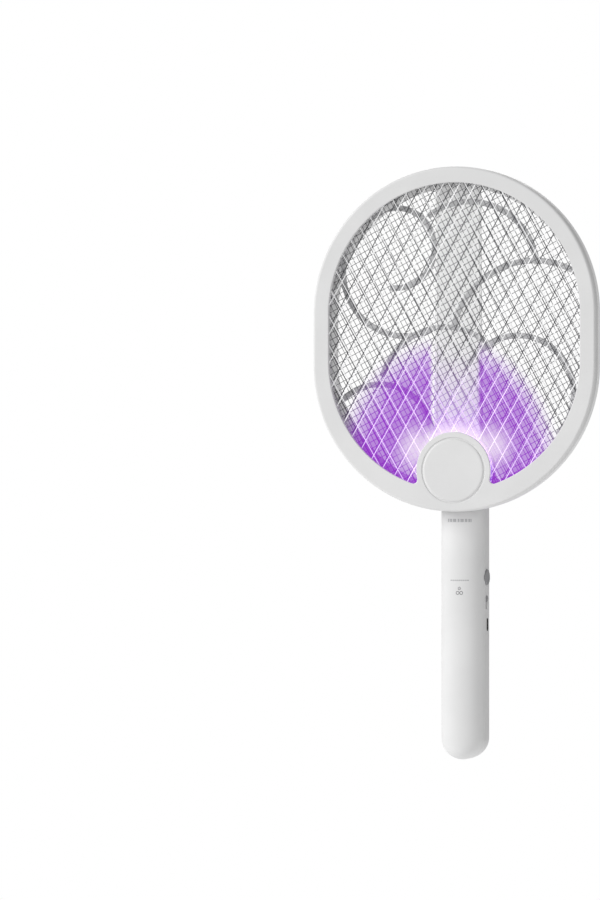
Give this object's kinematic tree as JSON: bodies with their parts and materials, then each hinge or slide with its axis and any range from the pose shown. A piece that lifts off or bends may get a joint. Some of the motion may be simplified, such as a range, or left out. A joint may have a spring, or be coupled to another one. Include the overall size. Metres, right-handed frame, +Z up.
{
  "type": "electric fly swatter",
  "caption": "Folding rechargeable fly swatter: an oblong head with wire nets and lamps on a round boss, hinged to a straight handle with a button, a slide switch and a charging socket.",
  "frame": {"origin": "on the handle's centre line, in the middle of the grip, 125 mm below the hinge axis", "axes": "+Z up the handle to the head, -Y out of the front, +X towards the side with the controls"},
  "size_m": [0.21, 0.0426, 0.4253],
  "materials": {
    "white_shell": "fine matt moulded plastic",
    "net_wire": "drawn aluminium wire",
    "clear_lens": "clear glossy plastic",
    "bright_steel": "bright steel",
    "control_grey": "fine matt grey plastic",
    "board_green": "satin circuit board lacquer",
    "black_part": "matt black plastic",
    "bush_black": "smooth black acetal",
    "film_blue": "glossy blue coating",
    "cell_wrap": "metal can in a blue shrink wrap",
    "ferrite": "dark ferrite with wound wire",
    "lamp_violet": "violet lamp resin",
    "lead_red": "red insulation",
    "lead_black": "black insulation"
  },
  "bodies": {
    "handle": {"handle_front_shell": "white_shell", "handle_rear_shell": "white_shell", "hinge_bush": "bush_black", "wave_washer": "bright_steel", "stop_pin": "bright_steel", "hinge_rear_cap": "white_shell", "hinge_lead": "lead_black", "main_board": "board_green", "side_board": "board_green", "step_up_transformer": "ferrite", "high_voltage_capacitor": "film_blue", "control_chip": "black_part", "tact_switch": "black_part", "slide_switch": "black_part", "charging_socket": "bright_steel", "socket_tongue": "black_part", "battery_cell": "cell_wrap", "battery_tab_upper": "bright_steel", "battery_tab_lower": "bright_steel", "positive_lead": "lead_red", "negative_lead": "lead_black", "indicator_lens": "clear_lens", "handle_screw_1": "bright_steel", "handle_screw_2": "bright_steel", "handle_screw_3": "bright_steel", "handle_screw_4": "bright_steel"},
    "head": {"front_frame": "white_shell", "rear_frame": "white_shell", "front_safety_net": "net_wire", "high_voltage_net": "net_wire", "rear_safety_net": "net_wire", "front_net_spacer": "white_shell", "rear_net_spacer": "white_shell", "net_lead_front": "lead_black", "net_lead_middle": "lead_red", "net_lead_rear": "lead_black", "boss_cap": "white_shell", "light_ring": "clear_lens", "led_board": "board_green", "led_1": "lamp_violet", "led_2": "lamp_violet", "led_3": "lamp_violet", "led_4": "lamp_violet", "led_5": "lamp_violet", "led_6": "lamp_violet", "hinge_axle": "bright_steel", "hinge_nut": "bright_steel", "stop_plate": "bright_steel", "head_screw_1": "bright_steel", "head_screw_2": "bright_steel", "head_screw_3": "bright_steel", "head_screw_4": "bright_steel", "head_screw_5": "bright_steel", "head_screw_6": "bright_steel", "head_screw_7": "bright_steel"},
    "zap_button": {"zap_button": "control_grey"},
    "mode_slider": {"mode_slider": "control_grey"}
  },
  "joints": [
    {"name": "head_fold", "type": "hinge", "parent": "handle", "child": "head", "pos_m": [0, -0.0115, 0.125], "axis": [0, 1, 0], "range_deg": [0, 90]},
    {"name": "zap_button_press", "type": "slide", "parent": "handle", "child": "zap_button", "axis": [-1, 0, 0], "range_m": [0, 0.0009], "stiffness_N_per_m": 900, "springref_m": -0.0008},
    {"name": "mode_slide", "type": "slide", "parent": "handle", "child": "mode_slider", "axis": [0, 0, -1], "range_m": [0, 0.005]}
  ]
}
